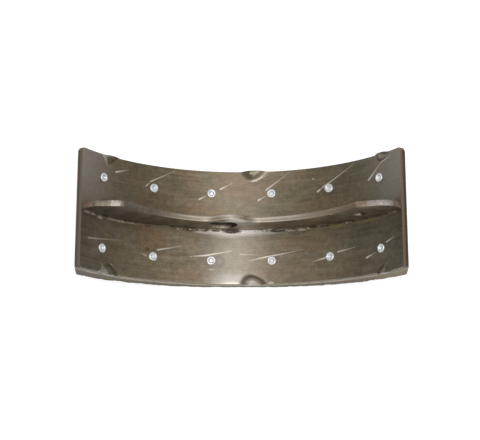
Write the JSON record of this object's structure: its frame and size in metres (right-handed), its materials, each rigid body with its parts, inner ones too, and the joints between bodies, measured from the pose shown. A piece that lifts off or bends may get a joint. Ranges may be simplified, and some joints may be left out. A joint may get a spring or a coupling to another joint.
{
  "type": "brake shoe",
  "caption": "Curved drum-brake shoe: a rolled steel table with a crescent web welded inside and a friction lining riveted outside, worn and oily.",
  "frame": {"origin": "lowest point of the lining, in the middle of its length and width, where the shoe rests", "axes": "+X along the shoe from its flat-pad end to its crowned-pad end, +Y along the drum's axis, +Z from the lining towards the drum's axis; the drum's axis is the line Z = 0.160 along Y"},
  "size_m": [0.2654, 0.0998, 0.1063],
  "materials": {
    "table_steel": "oily rolled steel with streaks, scratches and light rust",
    "web_steel": "sheared steel plate, pale on its cut edges, brown in the hollows",
    "friction_lining": "matt moulded friction material, mottled",
    "rivet_zinc": "bright zinc plate"
  },
  "bodies": {
    "root": {"table": "table_steel", "web": "web_steel", "lining": "friction_lining", "rivets": "rivet_zinc"}
  },
  "joints": []
}
